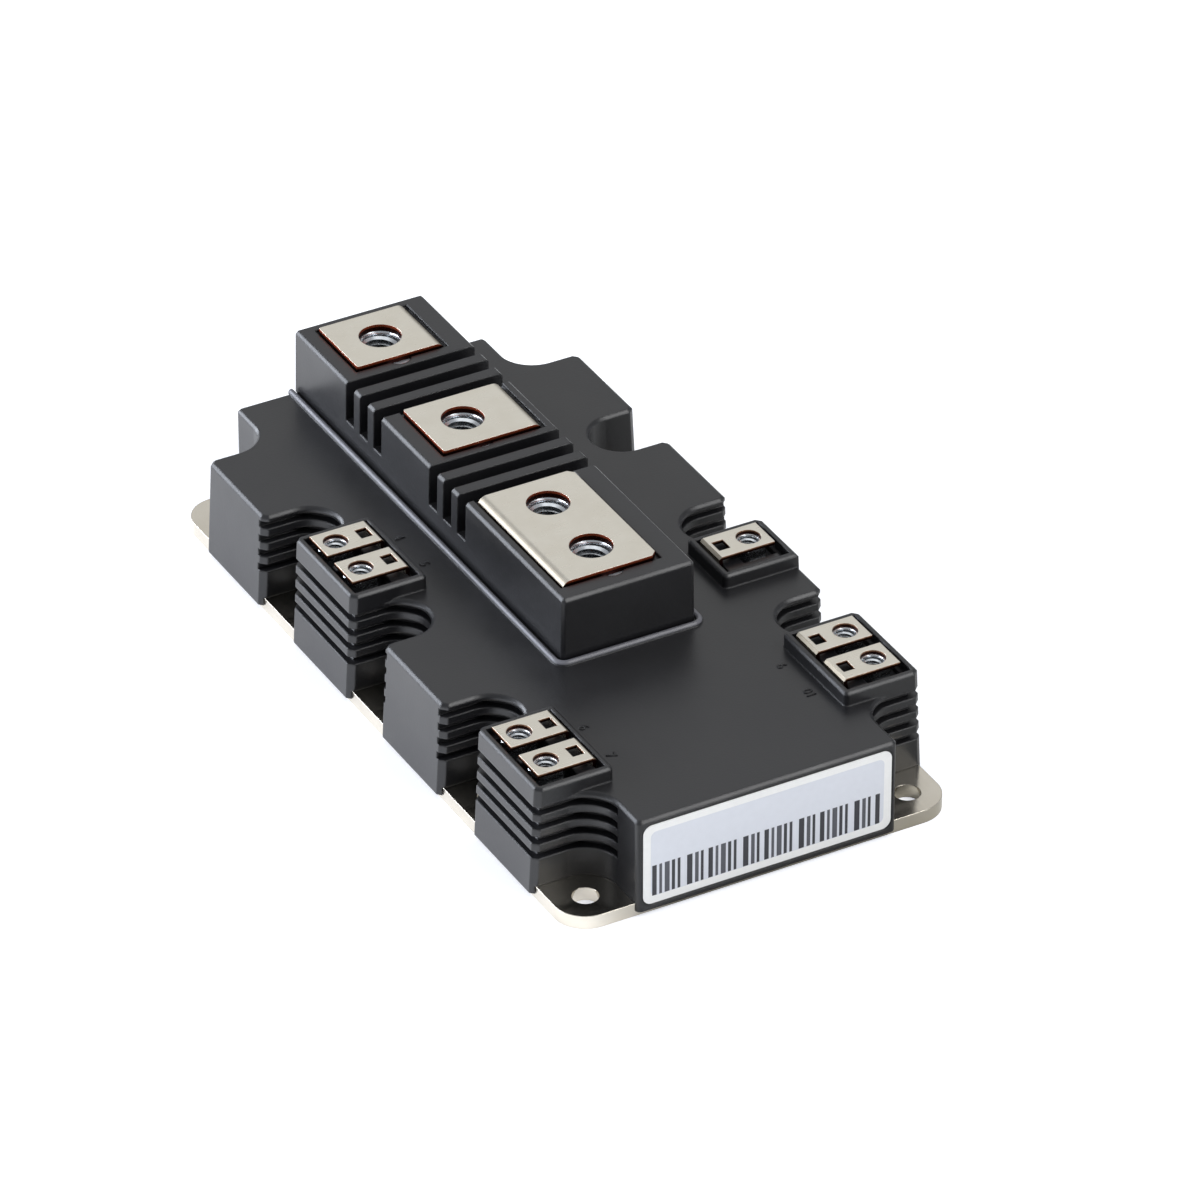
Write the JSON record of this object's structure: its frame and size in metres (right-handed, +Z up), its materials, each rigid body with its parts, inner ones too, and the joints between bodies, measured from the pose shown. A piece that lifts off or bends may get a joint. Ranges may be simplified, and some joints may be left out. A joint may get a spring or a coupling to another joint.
{
  "type": "igbt power module",
  "caption": "Half-bridge power semiconductor module with a notched black housing, a slotted terminal tower and screw terminals on a flat cooling plate.",
  "frame": {"origin": "middle of the cooling face", "axes": "+X along the module towards the label end, +Y across it to the side with three auxiliary terminals, +Z up from the cooling face"},
  "size_m": [0.172, 0.089, 0.038],
  "materials": {
    "nickel_plate": "satin nickel plating",
    "black_moulding": "fine moulded texture",
    "nickel_terminal": "satin nickel plating",
    "solder": "dull",
    "copper": "bright",
    "silicon": "polished",
    "aluminium_wire": "bright",
    "thermistor_body": "matt",
    "gel": "clear and soft",
    "label_film": "printed film",
    "steel_nut": "zinc plated",
    "ceramic_tile": "matt"
  },
  "bodies": {
    "root": {"ac_terminal": "nickel_terminal", "aux_nut_1": "steel_nut", "aux_nut_2": "steel_nut", "aux_nut_3": "steel_nut", "aux_nut_4": "steel_nut", "aux_nut_5": "steel_nut", "aux_nut_6": "steel_nut", "aux_nut_7": "steel_nut", "aux_terminal_1": "nickel_terminal", "aux_terminal_2": "nickel_terminal", "aux_terminal_3": "nickel_terminal", "aux_terminal_4": "nickel_terminal", "aux_terminal_5": "nickel_terminal", "aux_terminal_6": "nickel_terminal", "aux_terminal_7": "nickel_terminal", "backside_copper": "copper", "base_plate": "nickel_plate", "bond_ribbons": "aluminium_wire", "copper_tracks": "copper", "dc_minus_terminal": "nickel_terminal", "dc_plus_terminal": "nickel_terminal", "diode_chips": "silicon", "gate_wires": "aluminium_wire", "housing_shell": "black_moulding", "igbt_chips": "silicon", "label": "label_film", "link_wires": "aluminium_wire", "nut_carrier_1": "black_moulding", "nut_carrier_2": "black_moulding", "nut_carrier_3": "black_moulding", "nut_tab_1": "steel_nut", "nut_tab_2": "steel_nut", "nut_tab_3": "steel_nut", "plate_solder": "solder", "power_nut_1": "steel_nut", "power_nut_2": "steel_nut", "power_nut_3": "steel_nut", "power_nut_4": "steel_nut", "silicone_gel": "gel", "substrate_1": "ceramic_tile", "substrate_2": "ceramic_tile", "substrate_3": "ceramic_tile", "substrate_4": "ceramic_tile", "substrate_5": "ceramic_tile", "substrate_6": "ceramic_tile", "terminal_tower": "black_moulding", "thermistor": "thermistor_body"}
  },
  "joints": []
}
